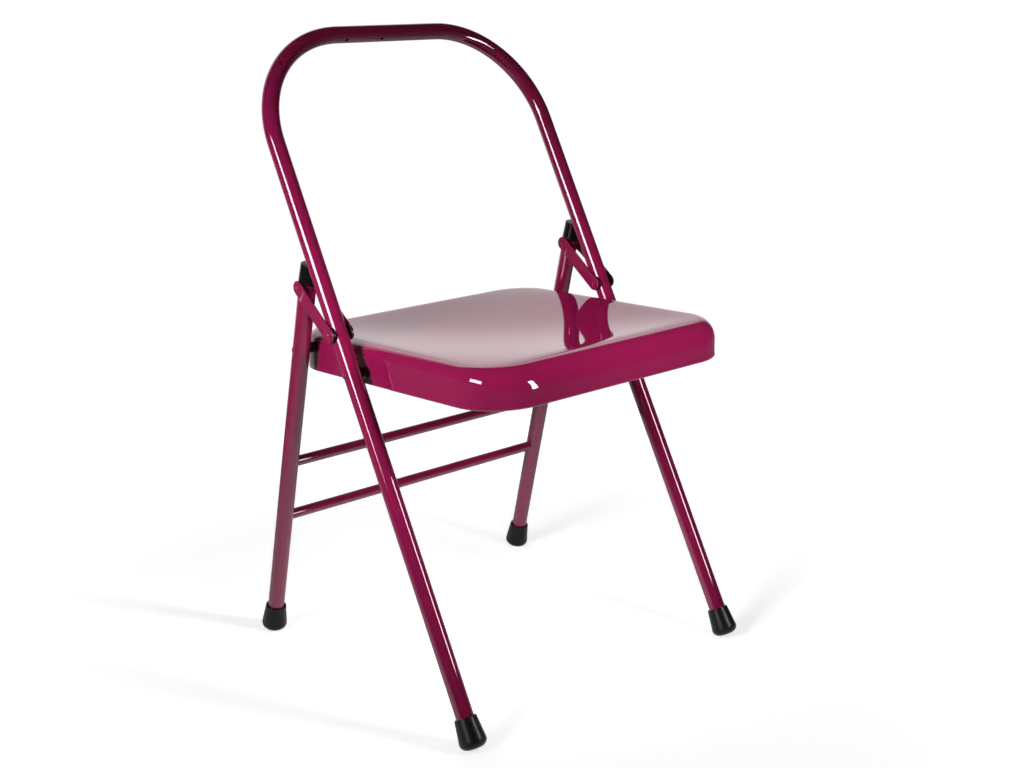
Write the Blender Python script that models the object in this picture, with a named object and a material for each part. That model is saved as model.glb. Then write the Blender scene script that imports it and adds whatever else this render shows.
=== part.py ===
"""Folding steel yoga chair, modelled open, as it stands in use.

One tube is bent into a hoop that makes both front legs and the open back frame.
Two straight tubes with two stretchers make the rear frame. A pressed sheet seat is
riveted to both frames, and a pair of flat links on each side ties the tops of the
rear legs to the front frame, so that seat, links and rear legs fold together.

Units are metres, +Z is up, the chair faces -Y and is symmetric about X = 0. The
origin ends up on the floor, under the middle of the chair's bounding box.

Places along a leg are distances from the floor along that leg's own axis. The seat
has its own frame at its front pivot: X across, V to the back along the seat, W up.
"""

import math

import bmesh
import bpy
from mathutils import Matrix, Vector

MM = 0.001

# Tubes and sheet
TUBE_DIAMETER = 22.0 * MM
TUBE_WALL = 1.2 * MM
STRETCHER_DIAMETER = 13.8 * MM
STRETCHER_WALL = 1.2 * MM
SEAT_SHEET = 1.4 * MM

# Legs: where the tube axes meet the floor, and how they lean
FOOT_HALF_WIDTH = 222.0 * MM
FRONT_LEAN = math.radians(29.27)
REAR_LEAN = math.radians(13.14)
LEG_SPLAY = math.radians(0.15)

# Hoop: the top bar's axis, and the bends into it
HOOP_LENGTH = 901.5 * MM
HOOP_BEND_RADIUS = 139.2 * MM

# Pivots and stretchers, as distances up their legs
SEAT_PIVOT_ON_FRONT = 463.5 * MM
LINK_ABOVE_SEAT_ON_FRONT = 52.0 * MM
LINK_ABOVE_SEAT_ON_REAR = 84.3 * MM
UPPER_STRETCHER_HEIGHT = 261.7 * MM
LOWER_STRETCHER_HEIGHT = 180.2 * MM
TUBE_ABOVE_LINK_PIVOT = 5.0 * MM

# Seat pan, in its own frame. The rear pivot is where the rear legs are riveted to it.
REAR_PIVOT_BACK = 108.14 * MM
REAR_PIVOT_UP = 16.96 * MM
SEAT_SIDE_GAP = 8.3 * MM
SEAT_FRONT_REACH = 234.5 * MM
SEAT_BACK_REACH = 172.0 * MM
SEAT_TILT = math.radians(3.45)
SEAT_FRONT_CORNER = 64.0 * MM
SEAT_BACK_CORNER = 68.0 * MM
SEAT_FRONT_ROLL = 30.0 * MM
SEAT_SIDE_ROLL = 16.0 * MM
SEAT_BACK_ROLL = 24.0 * MM
SEAT_RIM_ABOVE_PIVOT = 30.5 * MM
SEAT_REAR_RISE = 3.4 * MM
SEAT_HEM_BELOW_PIVOT = 15.7 * MM
SEAT_DISH = 9.0 * MM
HEM_RADIUS = 2.2 * MM
HEM_LIP = 3.0 * MM

# Links, spacers and rivets
LINK_WIDTH = 18.2 * MM
LINK_THICKNESS = 2.2 * MM
LINK_JOG_FROM_TOP = 10.0 * MM
LINK_JOG_LENGTH = 6.0 * MM
LINK_SPACER_DIAMETER = 20.0 * MM
LINK_SPACER_THICKNESS = 2.0 * MM
SEAT_SPACER_DIAMETER = 14.0 * MM
RIVET_DIAMETER = 6.0 * MM
RIVET_HEAD_DIAMETER = 9.0 * MM
RIVET_HEAD_HEIGHT = 1.8 * MM
RIVET_TAIL_DIAMETER = 7.6 * MM
RIVET_TAIL_HEIGHT = 1.4 * MM

# Rubber foot caps, and the plugs in the tops of the rear legs
CAP_HEIGHT = 37.0 * MM
CAP_TOP_DIAMETER = 27.4 * MM
CAP_WIDEST_DIAMETER = 33.6 * MM
CAP_SOLE_DIAMETER = 13.6 * MM
CAP_SOLE_ROUNDING = 8.6 * MM
CAP_SOLE_THICKNESS = 8.0 * MM
CAP_LIP_ROUNDING = 1.0 * MM
CAP_FLAT_DEPTH = 0.8 * MM
PLUG_HEIGHT = 25.6 * MM
PLUG_SHOULDER = 0.9 * MM
PLUG_TOP_DIAMETER = 22.0 * MM
PLUG_TOP_ROUNDING = 1.0 * MM
PLUG_STEM_LENGTH = 18.0 * MM

# Clearances: between faces that touch on the real chair, and round a rivet's shank
FIT_GAP = 0.3 * MM
HOLE_CLEARANCE = 0.35 * MM

# Fineness of the round shapes
TUBE_SIDES = 20
RIVET_SIDES = 12
HOLE_SIDES = 16
BEND_STEPS = 10
CORNER_STEPS = 10
ROLL_STEPS = 6
HEM_STEPS = 2
DOME_STEPS = 3
LINK_END_STEPS = 10
SOLE_STEPS = 5
LIP_STEPS = 2
LONGEST_RIM_STEP = 70.0 * MM
DISH_RINGS = (0.12, 0.28, 0.46, 0.66, 0.86)
SMOOTH_ANGLE = math.radians(35.0)
WELD = 0.001 * MM
EMPTY_DISPLAY_SIZE = 40.0 * MM

# Sizes that follow from the ones above
TUBE_RADIUS = TUBE_DIAMETER / 2
SHANK_RADIUS = RIVET_DIAMETER / 2
HOLE_RADIUS = SHANK_RADIUS + HOLE_CLEARANCE
LINK_GAP_AT_FOOT = LINK_SPACER_THICKNESS + 2 * FIT_GAP
LINK_GAP_AT_TOP = PLUG_SHOULDER + 2 * FIT_GAP

SIDES = {"left": -1, "right": 1}


def leg_frame(side, foot_y, lean):
    """World matrix of a leg, from its foot on the floor with Z up the tube. A lean is positive to the front."""
    foot = Matrix.Translation((side * FOOT_HALF_WIDTH, foot_y, 0.0))
    return foot @ Matrix.Rotation(lean, 4, "X") @ Matrix.Rotation(-side * LEG_SPLAY, 4, "Y")


def front_leg(side):
    return leg_frame(side, 0.0, -FRONT_LEAN)


def rear_leg(side):
    return leg_frame(side, FOOT_SPREAD, REAR_LEAN)


def up_leg(leg, distance):
    """The point on a leg's axis at this distance from the floor."""
    return leg @ Vector((0.0, 0.0, distance))


def seat_frame():
    """Matrix of the seat's own frame, on the chair's middle plane."""
    place = Matrix.Translation((0.0, SEAT_FRONT_PIVOT.y, SEAT_FRONT_PIVOT.z))
    return place @ Matrix.Rotation(-SEAT_TILT, 4, "X")


# The front pivot of the seat carries the seat, and the seat's rear pivot the rear legs
SEAT_FRONT_PIVOT = up_leg(front_leg(1), SEAT_PIVOT_ON_FRONT)
REAR_RIVET_PLACE = seat_frame() @ Vector((0.0, REAR_PIVOT_BACK, REAR_PIVOT_UP))
FOOT_SPREAD = REAR_RIVET_PLACE.y + REAR_RIVET_PLACE.z * math.tan(REAR_LEAN)
SEAT_PIVOT_ON_REAR = REAR_RIVET_PLACE.z / math.cos(REAR_LEAN) / math.cos(LEG_SPLAY)
LINK_PIVOT_ON_FRONT = SEAT_PIVOT_ON_FRONT + LINK_ABOVE_SEAT_ON_FRONT
LINK_PIVOT_ON_REAR = SEAT_PIVOT_ON_REAR + LINK_ABOVE_SEAT_ON_REAR

# The other three pivots of the folding linkage, on the right-hand side of the chair
SEAT_REAR_PIVOT = up_leg(rear_leg(1), SEAT_PIVOT_ON_REAR)
LINK_FOOT_PIVOT = up_leg(front_leg(1), LINK_PIVOT_ON_FRONT)
LINK_TOP_PIVOT = up_leg(rear_leg(1), LINK_PIVOT_ON_REAR)
PIVOTS = {
    "seat_front": SEAT_FRONT_PIVOT,
    "seat_rear": SEAT_REAR_PIVOT,
    "link_foot": LINK_FOOT_PIVOT,
    "link_top": LINK_TOP_PIVOT,
}
SEAT_HALF_WIDTH = SEAT_FRONT_PIVOT.x - TUBE_RADIUS - SEAT_SIDE_GAP
LINK_LENGTH = math.dist(LINK_FOOT_PIVOT.yz, LINK_TOP_PIVOT.yz)


def clear_scene():
    for old in list(bpy.data.objects):
        bpy.data.objects.remove(old, do_unlink=True)


def new_material(name, colour, roughness, coat=0.0, metallic=0.0):
    """A plain material for all pieces of one make. The colour is linear."""
    material = bpy.data.materials.new(name)
    material.use_nodes = True
    shader = material.node_tree.nodes["Principled BSDF"]
    shader.inputs["Base Color"].default_value = (*colour, 1.0)
    shader.inputs["Roughness"].default_value = roughness
    shader.inputs["Coat Weight"].default_value = coat
    shader.inputs["Metallic"].default_value = metallic
    material.diffuse_color = (*colour, 1.0)
    return material


def place_of(empty):
    """Where an empty is, in the chair's own coordinates."""
    return empty.location + (place_of(empty.parent) if empty.parent else Vector())


def add_empty(name, place=None, parent=None):
    """An empty on a joint's axis: what turns there is its child."""
    empty = bpy.data.objects.new(name, None)
    empty.empty_display_size = EMPTY_DISPLAY_SIZE
    bpy.context.scene.collection.objects.link(empty)
    if parent:
        empty.parent = parent
        empty.location = place - place_of(parent)
    return empty


def add_object(name, mesh, parent, matrix):
    """Puts a mesh into the scene at a matrix in the chair's coordinates, under its empty."""
    thing = bpy.data.objects.new(name, mesh)
    bpy.context.scene.collection.objects.link(thing)
    thing.parent = parent
    thing.matrix_local = Matrix.Translation(-place_of(parent)) @ matrix
    return thing


def add_cuts(part, cutters):
    """Boolean modifiers that take each cutter's shape out of a part."""
    for cutter in cutters:
        cut = part.modifiers.new("cut_" + cutter.name, "BOOLEAN")
        cut.operation = "DIFFERENCE"
        cut.solver = "EXACT"
        cut.object = cutter


def add_part(name, mesh, parent, matrix, material, cutters=()):
    """One physical piece of the chair, with the holes that its cutters make."""
    mesh.materials.append(material)
    mesh.shade_smooth()
    mesh.set_sharp_from_angle(angle=SMOOTH_ANGLE)
    part = add_object(name, mesh, parent, matrix)
    add_cuts(part, cutters)
    return part


def add_cutter(name, mesh, parent, matrix):
    """A shape that only cuts others: it isn't rendered, and shows as wire."""
    cutter = add_object(name, mesh, parent, matrix)
    cutter.hide_render = True
    cutter.display_type = "WIRE"
    return cutter


def mesh_from(name, bm):
    """Turns a bmesh into a mesh whose doubled points are welded and whose faces point out."""
    bmesh.ops.remove_doubles(bm, verts=bm.verts, dist=WELD)
    bmesh.ops.recalc_face_normals(bm, faces=bm.faces)
    mesh = bpy.data.meshes.new(name)
    bm.to_mesh(mesh)
    bm.free()
    return mesh


def arc(centre, radii, start, end, steps):
    """Points on an ellipse in a plane, from one angle to another, both ends included."""
    angles = [start + (end - start) * step / steps for step in range(steps + 1)]
    return [(centre[0] + radii[0] * math.cos(a), centre[1] + radii[1] * math.sin(a)) for a in angles]


def turned(profile, sides, ring=False):
    """A bmesh turned round Z from a profile of (radius, height). A ring's profile is closed."""
    bm = bmesh.new()
    points = [bm.verts.new((radius, 0.0, height)) for radius, height in profile]
    following = points[1:] + points[:1] if ring else points[1:]
    edges = [bm.edges.new(pair) for pair in zip(points, following)]
    bmesh.ops.spin(
        bm,
        geom=points + edges,
        axis=(0.0, 0.0, 1.0),
        angle=2 * math.pi,
        steps=sides,
        use_merge=True,
    )
    return bm


def rod_mesh(name, radius, low, high, sides):
    profile = [(0.0, low), (radius, low), (radius, high), (0.0, high)]
    return mesh_from(name, turned(profile, sides))


def pipe_mesh(name, outer, inner, low, high, sides):
    profile = [(inner, low), (outer, low), (outer, high), (inner, high)]
    return mesh_from(name, turned(profile, sides, ring=True))


def join_rings(bm, first, second):
    """Quads between two rings of as many points."""
    for index in range(len(first)):
        following = (index + 1) % len(first)
        bm.faces.new((first[index], first[following], second[following], second[index]))


def tube_section(bm, path, index):
    """Rings of points round the outside and the inside of the frame tube at one point of its path."""
    here = Vector(path[index])
    before = here - Vector(path[max(index - 1, 0)])
    after = Vector(path[min(index + 1, len(path) - 1)]) - here
    ways = [way.normalized() for way in (before, after) if way.length > 0]
    along = sum(ways, Vector((0.0, 0.0))).normalized()
    mitred = Vector((along.y, 0.0, -along.x)) / along.dot(ways[0])
    rings = []
    for radius in (TUBE_RADIUS, TUBE_RADIUS - TUBE_WALL):
        ring = []
        for step in range(TUBE_SIDES):
            angle = 2 * math.pi * step / TUBE_SIDES
            offset = mitred * math.cos(angle) + Vector((0.0, math.sin(angle), 0.0))
            ring.append(bm.verts.new(Vector((here.x, 0.0, here.y)) + radius * offset))
        rings.append(ring)
    return rings


def bent_pipe_mesh(name, path):
    """The frame tube along points (x, z) in its own plane, with mitred sections and open ends."""
    bm = bmesh.new()
    sections = [tube_section(bm, path, index) for index in range(len(path))]
    for here, there in zip(sections, sections[1:]):
        join_rings(bm, here[0], there[0])
        join_rings(bm, here[1], there[1])
    join_rings(bm, *sections[0])
    join_rings(bm, *sections[-1])
    return mesh_from(name, bm)


def crosswise(side, pivot):
    """Matrix at a pivot whose Z runs outwards from the chair's middle plane."""
    place = Matrix.Translation((0.0, pivot.y, pivot.z))
    return place @ Matrix.Rotation(side * math.pi / 2, 4, "Y")


def add_hole_cutters(origin):
    """A pin through one side of the chair at each pivot, keyed by side and pivot."""
    low = SEAT_HALF_WIDTH - RIVET_DIAMETER
    high = FOOT_HALF_WIDTH + TUBE_DIAMETER
    cutters = {}
    for side_name, side in SIDES.items():
        for pivot_name, pivot in PIVOTS.items():
            name = f"{side_name}_{pivot_name}_hole"
            mesh = rod_mesh(name, HOLE_RADIUS, low, high, HOLE_SIDES)
            cutters[side_name, pivot_name] = add_cutter(name, mesh, origin, crosswise(side, pivot))
    return cutters


def add_leg_cutters(origin):
    """Each leg with a gap round it, to shape what butts against that leg."""
    radius = TUBE_RADIUS + FIT_GAP
    cutters = {}
    for side_name, side in SIDES.items():
        for leg_name, leg in (("front", front_leg(side)), ("rear", rear_leg(side))):
            name = f"{side_name}_{leg_name}_leg_clearance"
            mesh = rod_mesh(name, radius, LOWER_STRETCHER_HEIGHT / 2, HOOP_LENGTH, TUBE_SIDES)
            cutters[side_name, leg_name] = add_cutter(name, mesh, origin, leg)
    return cutters


def sole_height(lean):
    """From the floor up a leg to its cap's sole, which sets the cap's flat on the floor."""
    disc = CAP_SOLE_DIAMETER / 2
    bulge = CAP_WIDEST_DIAMETER / 2 - disc
    reach = math.hypot(bulge * math.sin(lean), CAP_SOLE_ROUNDING * math.cos(lean))
    lowest = disc * math.sin(lean) + reach - CAP_FLAT_DEPTH
    return lowest / math.cos(lean) - CAP_SOLE_ROUNDING


def tube_end(lean):
    """How far up a leg its tube starts, inside the cap."""
    return sole_height(lean) + CAP_SOLE_THICKNESS + FIT_GAP


def foot_cap_mesh(name, leg, lean):
    """A bell-shaped cap with a rounded sole and a pocket for the tube, cut flat at the floor."""
    sole = sole_height(lean)
    bore = TUBE_RADIUS + FIT_GAP
    disc = CAP_SOLE_DIAMETER / 2
    lip = CAP_LIP_ROUNDING
    rounding = (CAP_WIDEST_DIAMETER / 2 - disc, CAP_SOLE_ROUNDING)
    profile = [(0.0, 0.0)]
    profile += arc((disc, CAP_SOLE_ROUNDING), rounding, -math.pi / 2, 0.0, SOLE_STEPS)
    profile += arc((CAP_TOP_DIAMETER / 2 - lip, CAP_HEIGHT - lip), (lip, lip), 0.0, math.pi / 2, LIP_STEPS)
    profile += [(bore, CAP_HEIGHT), (bore, CAP_SOLE_THICKNESS), (0.0, CAP_SOLE_THICKNESS)]
    bm = turned([(radius, sole + height) for radius, height in profile], TUBE_SIDES)
    bmesh.ops.remove_doubles(bm, verts=bm.verts, dist=WELD)
    up = leg.to_3x3().inverted() @ Vector((0.0, 0.0, 1.0))
    everything = bm.verts[:] + bm.edges[:] + bm.faces[:]
    floor_cut = bmesh.ops.bisect_plane(
        bm, geom=everything, dist=WELD, plane_co=(0.0, 0.0, 0.0), plane_no=up, clear_inner=True
    )
    rim = [item for item in floor_cut["geom_cut"] if isinstance(item, bmesh.types.BMEdge)]
    bmesh.ops.contextual_create(bm, geom=rim)
    return mesh_from(name, bm)


def add_foot_cap(name, parent, leg, lean, rubber):
    add_part(name, foot_cap_mesh(name, leg, lean), parent, leg, rubber)


def rivet_mesh(name, low, high, has_tail=True, has_head=True):
    """A rivet along Z: a flat-domed tail below its shank, a domed head above. Without one it ends flush."""
    tail = RIVET_TAIL_DIAMETER / 2
    head = RIVET_HEAD_DIAMETER / 2
    quarter = math.pi / 2
    bottom = arc((0.0, low), (tail, RIVET_TAIL_HEIGHT), -quarter, 0.0, DOME_STEPS) if has_tail else [(0.0, low)]
    top = arc((0.0, high), (head, RIVET_HEAD_HEIGHT), 0.0, quarter, DOME_STEPS) if has_head else [(0.0, high)]
    profile = bottom + [(SHANK_RADIUS, low), (SHANK_RADIUS, high)] + top
    return mesh_from(name, turned(profile, RIVET_SIDES))


def add_rivet(name, side, pivot, low, high, parent, material, **ends):
    """A rivet at a pivot, between two distances from the chair's middle plane."""
    add_part(name, rivet_mesh(name, low, high, **ends), parent, crosswise(side, pivot), material)


def add_spacer(name, side, pivot, diameter, low, high, parent, material):
    """A round spacer on a rivet, between two distances from the chair's middle plane."""
    mesh = pipe_mesh(name, diameter / 2, HOLE_RADIUS, low, high, HOLE_SIDES)
    add_part(name, mesh, parent, crosswise(side, pivot), material)


def hoop_path():
    """The hoop's axis in the plane of the front frame, from the left foot over the top to the right foot."""
    bottom = tube_end(FRONT_LEAN)
    tangent = HOOP_BEND_RADIUS * math.tan((math.pi / 2 - LEG_SPLAY) / 2)
    corner_x = FOOT_HALF_WIDTH - HOOP_LENGTH * math.tan(LEG_SPLAY)
    centre = (corner_x - tangent, HOOP_LENGTH - HOOP_BEND_RADIUS)
    right = arc(centre, (HOOP_BEND_RADIUS, HOOP_BEND_RADIUS), math.pi / 2, LEG_SPLAY, BEND_STEPS)
    right.append((FOOT_HALF_WIDTH - bottom * math.tan(LEG_SPLAY), bottom))
    left = [(-x, z) for x, z in reversed(right)]
    return left + right


def add_seat_front_pivot(name, side, origin, paint, plastic):
    """The rivet that the seat turns on, and the spacer that holds the pan off the leg."""
    pivot = SEAT_FRONT_PIVOT
    low = SEAT_HALF_WIDTH - SEAT_SHEET - FIT_GAP
    high = pivot.x + TUBE_RADIUS + FIT_GAP
    add_rivet(f"{name}_seat_front_rivet", side, pivot, low, high, origin, paint)
    low = SEAT_HALF_WIDTH + FIT_GAP
    high = pivot.x - TUBE_RADIUS - FIT_GAP
    add_spacer(f"{name}_seat_front_spacer", side, pivot, SEAT_SPACER_DIAMETER, low, high, origin, plastic)


def add_link_foot_pivot(name, side, origin, paint, plastic):
    """The rivet that both links of a side turn on, and the disc under each link."""
    pivot = LINK_FOOT_PIVOT
    reach = TUBE_RADIUS + LINK_GAP_AT_FOOT + LINK_THICKNESS + FIT_GAP
    add_rivet(f"{name}_link_foot_rivet", side, pivot, pivot.x - reach, pivot.x + reach, origin, paint)
    near = TUBE_RADIUS + FIT_GAP
    far = near + LINK_SPACER_THICKNESS
    for place, low, high in (("outer", pivot.x + near, pivot.x + far), ("inner", pivot.x - far, pivot.x - near)):
        spacer = f"{name}_{place}_link_spacer"
        add_spacer(spacer, side, pivot, LINK_SPACER_DIAMETER, low, high, origin, plastic)


def add_front_frame(origin, holes, paint, rubber, plastic):
    """The fixed body: the hoop, its foot caps, and the rivets and spacers that stay with it."""
    cutters = [cutter for (_, pivot), cutter in holes.items() if pivot in ("seat_front", "link_foot")]
    hoop = bent_pipe_mesh("front_frame_tube", hoop_path())
    add_part("front_frame_tube", hoop, origin, Matrix.Rotation(-FRONT_LEAN, 4, "X"), paint, cutters)
    for name, side in SIDES.items():
        add_foot_cap(f"{name}_front_foot_cap", origin, front_leg(side), FRONT_LEAN, rubber)
        add_seat_front_pivot(name, side, origin, paint, plastic)
        add_link_foot_pivot(name, side, origin, paint, plastic)


def seat_outline():
    """The pan's plan outline as (x, v, outward x, outward v), the long straight stretches divided."""
    corners = ((1, -1, -1), (1, 1, 0), (-1, 1, 1), (-1, -1, 2))
    outline = []
    for x_sign, v_sign, quarters in corners:
        at_back = v_sign > 0
        radius = SEAT_BACK_CORNER if at_back else SEAT_FRONT_CORNER
        reach = SEAT_BACK_REACH if at_back else SEAT_FRONT_REACH
        centre = (x_sign * (SEAT_HALF_WIDTH - radius), v_sign * (reach - radius))
        for step in range(CORNER_STEPS + 1):
            angle = math.pi / 2 * (quarters + step / CORNER_STEPS)
            nx, nv = math.cos(angle), math.sin(angle)
            outline.append((centre[0] + radius * nx, centre[1] + radius * nv, nx, nv))
    divided = []
    for start, end in zip(outline, outline[1:] + outline[:1]):
        pieces = math.ceil(math.dist(start[:2], end[:2]) / LONGEST_RIM_STEP)
        for piece in range(pieces):
            divided.append([a + (b - a) * piece / pieces for a, b in zip(start, end)])
    return divided


def roll_radius(nx, nv):
    """The top edge rolls over widest at the front, tighter at the back and tightest at the sides."""
    end = SEAT_FRONT_ROLL if nv < 0 else SEAT_BACK_ROLL
    return SEAT_SIDE_ROLL * nx**2 + end * nv**2


def rim_height(v):
    """The rim climbs a little from the front edge to the back edge."""
    share = (v + SEAT_FRONT_REACH) / (SEAT_FRONT_REACH + SEAT_BACK_REACH)
    return SEAT_RIM_ABOVE_PIVOT + SEAT_REAR_RISE * share


def hem_ring(outline, inset, height):
    return [(x - nx * inset, v - nv * inset, height) for x, v, nx, nv in outline]


def roll_ring(outline, bend):
    """A ring part of the way over the rolled edge, which turns from upright to level."""
    ring = []
    for x, v, nx, nv in outline:
        radius = roll_radius(nx, nv)
        inset = radius * (1 - math.cos(bend))
        ring.append((x - nx * inset, v - nv * inset, rim_height(v) - radius * (1 - math.sin(bend))))
    return ring


def dish_ring(rim, share):
    """A ring this share of the way from the rim to the middle of the dish."""
    middle = (SEAT_BACK_REACH - SEAT_FRONT_REACH) / 2
    drop = SEAT_DISH * share**2 * (3 - 2 * share)
    return [(x * (1 - share), middle + (v - middle) * (1 - share), w - drop) for x, v, w in rim]


def seat_rings():
    """Rings over the pan's outer face: the hem's lip and bend, the skirt, the rolled edge and the dish."""
    outline = seat_outline()
    bottom = -SEAT_HEM_BELOW_PIVOT
    rings = [hem_ring(outline, HEM_RADIUS + HEM_LIP, bottom)]
    for inset, rise in arc((HEM_RADIUS, HEM_RADIUS), (HEM_RADIUS, HEM_RADIUS), -math.pi / 2, -math.pi, HEM_STEPS):
        rings.append(hem_ring(outline, inset, bottom + rise))
    for step in range(ROLL_STEPS + 1):
        rings.append(roll_ring(outline, math.pi / 2 * step / ROLL_STEPS))
    rim = rings[-1]
    return rings + [dish_ring(rim, share) for share in DISH_RINGS]


def seat_pan_mesh(name):
    """The outer face of the pressed pan, open underneath."""
    bm = bmesh.new()
    loops = [[bm.verts.new(point) for point in ring] for ring in seat_rings()]
    for lower, upper in zip(loops, loops[1:]):
        join_rings(bm, lower, upper)
    middle = (SEAT_BACK_REACH - SEAT_FRONT_REACH) / 2
    hub = bm.verts.new((0.0, middle, rim_height(middle) - SEAT_DISH))
    last = loops[-1]
    for here, there in zip(last, last[1:] + last[:1]):
        bm.faces.new((here, there, hub))
    mesh = bpy.data.meshes.new(name)
    bm.to_mesh(mesh)
    bm.free()
    return mesh


def side_inset(v, w):
    """How far the pan's side has curved in here, round the back corner and over the rolled edge."""
    round_corner = max(v - (SEAT_BACK_REACH - SEAT_BACK_CORNER), 0.0)
    over_roll = max(w - (rim_height(v) - SEAT_SIDE_ROLL), 0.0)
    facets = SEAT_BACK_CORNER * (1 - math.cos(math.pi / 4 / CORNER_STEPS))
    corner = SEAT_BACK_CORNER - math.sqrt(SEAT_BACK_CORNER**2 - round_corner**2)
    roll = SEAT_SIDE_ROLL - math.sqrt(SEAT_SIDE_ROLL**2 - over_roll**2)
    return corner + roll + facets


def add_seat(seat_pivot, holes, paint):
    """The pan, one sheet thick, and the tails of its rear rivets inside it."""
    pan = add_part("seat_pan", seat_pan_mesh("seat_pan"), seat_pivot, seat_frame(), paint)
    sheet = pan.modifiers.new("sheet", "SOLIDIFY")
    sheet.thickness = SEAT_SHEET
    sheet.offset = -1.0
    sheet.use_even_offset = True
    add_cuts(pan, [cutter for (_, pivot), cutter in holes.items() if pivot.startswith("seat")])
    rim_of_tail = RIVET_TAIL_DIAMETER / 2 * math.cos(math.pi / 4)
    inset = side_inset(REAR_PIVOT_BACK + rim_of_tail, REAR_PIVOT_UP + rim_of_tail)
    low = SEAT_HALF_WIDTH - inset - SEAT_SHEET - FIT_GAP
    for name, side in SIDES.items():
        tail = f"{name}_seat_rear_rivet_tail"
        add_rivet(tail, side, SEAT_REAR_PIVOT, low, SEAT_HALF_WIDTH, seat_pivot, paint, has_head=False)


def link_frame(side):
    """Matrix at a link's foot: Y along the link to its top, Z outwards from the chair's middle plane."""
    run = Vector((0.0, *(LINK_TOP_PIVOT.yz - LINK_FOOT_PIVOT.yz))).normalized()
    outward = Vector((side, 0.0, 0.0))
    turn = Matrix((run.cross(outward), run, outward)).transposed().to_4x4()
    return Matrix.Translation((0.0, LINK_FOOT_PIVOT.y, LINK_FOOT_PIVOT.z)) @ turn


def link_plate_mesh(name, at_foot, at_top):
    """A flat bar with round ends, jogged near its top from one distance off the middle plane to another."""
    half = LINK_WIDTH / 2
    jog_top = LINK_LENGTH - LINK_JOG_FROM_TOP
    jog_foot = jog_top - LINK_JOG_LENGTH
    foot_end = arc((0.0, 0.0), (half, half), math.pi, 2 * math.pi, LINK_END_STEPS)
    top_end = arc((0.0, LINK_LENGTH), (half, half), 0.0, math.pi, LINK_END_STEPS)
    stretches = (
        foot_end + [(half, jog_foot), (-half, jog_foot)],
        [(-half, jog_foot), (half, jog_foot), (half, jog_top), (-half, jog_top)],
        [(-half, jog_top), (half, jog_top)] + top_end,
    )
    bm = bmesh.new()
    for stretch in stretches:
        bm.faces.new([bm.verts.new((x, y, at_foot if y <= jog_foot else at_top)) for x, y in stretch])
    bmesh.ops.remove_doubles(bm, verts=bm.verts, dist=WELD)
    extruded = bmesh.ops.extrude_face_region(bm, geom=bm.faces[:])
    raised = [item for item in extruded["geom"] if isinstance(item, bmesh.types.BMVert)]
    bmesh.ops.translate(bm, verts=raised, vec=(0.0, 0.0, LINK_THICKNESS))
    return mesh_from(name, bm)


def add_links(name, side, pivot, holes, paint):
    """The two links of one side, outside and inside the tubes."""
    foot, top = LINK_FOOT_PIVOT.x, LINK_TOP_PIVOT.x
    off_foot = TUBE_RADIUS + LINK_GAP_AT_FOOT
    off_top = TUBE_RADIUS + LINK_GAP_AT_TOP
    outer = link_plate_mesh(f"{name}_outer_link", foot + off_foot, top + off_top)
    below = -LINK_THICKNESS
    inner = link_plate_mesh(f"{name}_inner_link", foot - off_foot + below, top - off_top + below)
    for plate in (outer, inner):
        add_part(plate.name, plate, pivot, link_frame(side), paint, [holes[name, "link_foot"], holes[name, "link_top"]])


def plug_mesh(name):
    """A plug with a stem in the tube, a shoulder wider than the tube, and a taper to its rounded top."""
    stem = TUBE_RADIUS - TUBE_WALL - FIT_GAP
    rounding = PLUG_TOP_ROUNDING
    corner = (PLUG_TOP_DIAMETER / 2 - rounding, PLUG_HEIGHT - rounding)
    profile = [(0.0, -PLUG_STEM_LENGTH), (stem, -PLUG_STEM_LENGTH), (stem, FIT_GAP)]
    profile.append((TUBE_RADIUS + PLUG_SHOULDER, FIT_GAP))
    profile += arc(corner, (rounding, rounding), 0.0, math.pi / 2, LIP_STEPS)
    profile.append((0.0, PLUG_HEIGHT))
    return mesh_from(name, turned(profile, TUBE_SIDES))


def add_rear_rivets(name, side, pivot, paint, plastic):
    """The rivets and spacers that a rear leg carries, at the seat and at its top."""
    place = SEAT_REAR_PIVOT
    low = SEAT_HALF_WIDTH + FIT_GAP
    high = place.x + TUBE_RADIUS + FIT_GAP
    add_rivet(f"{name}_seat_rear_rivet", side, place, low, high, pivot, paint, has_tail=False)
    high = place.x - TUBE_RADIUS - FIT_GAP
    add_spacer(f"{name}_seat_rear_spacer", side, place, SEAT_SPACER_DIAMETER, low, high, pivot, plastic)
    place = LINK_TOP_PIVOT
    reach = TUBE_RADIUS + LINK_GAP_AT_TOP + LINK_THICKNESS + FIT_GAP
    add_rivet(f"{name}_link_top_rivet", side, place, place.x - reach, place.x + reach, pivot, paint)


def add_rear_leg(name, side, pivot, holes, legs, paint, rubber, plastic):
    """One rear tube with its foot cap, its top plug and its rivets."""
    leg = rear_leg(side)
    top = LINK_PIVOT_ON_REAR + TUBE_ABOVE_LINK_PIVOT
    tube = pipe_mesh(f"{name}_rear_leg", TUBE_RADIUS, TUBE_RADIUS - TUBE_WALL, tube_end(REAR_LEAN), top, TUBE_SIDES)
    add_part(tube.name, tube, pivot, leg, paint, [holes[name, "seat_rear"], holes[name, "link_top"]])
    add_foot_cap(f"{name}_rear_foot_cap", pivot, leg, REAR_LEAN, rubber)
    plug = plug_mesh(f"{name}_rear_leg_plug")
    standing = leg @ Matrix.Translation((0.0, 0.0, top))
    add_part(plug.name, plug, pivot, standing, plastic, [legs[name, "front"], holes[name, "link_top"]])
    add_rear_rivets(name, side, pivot, paint, plastic)


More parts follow.
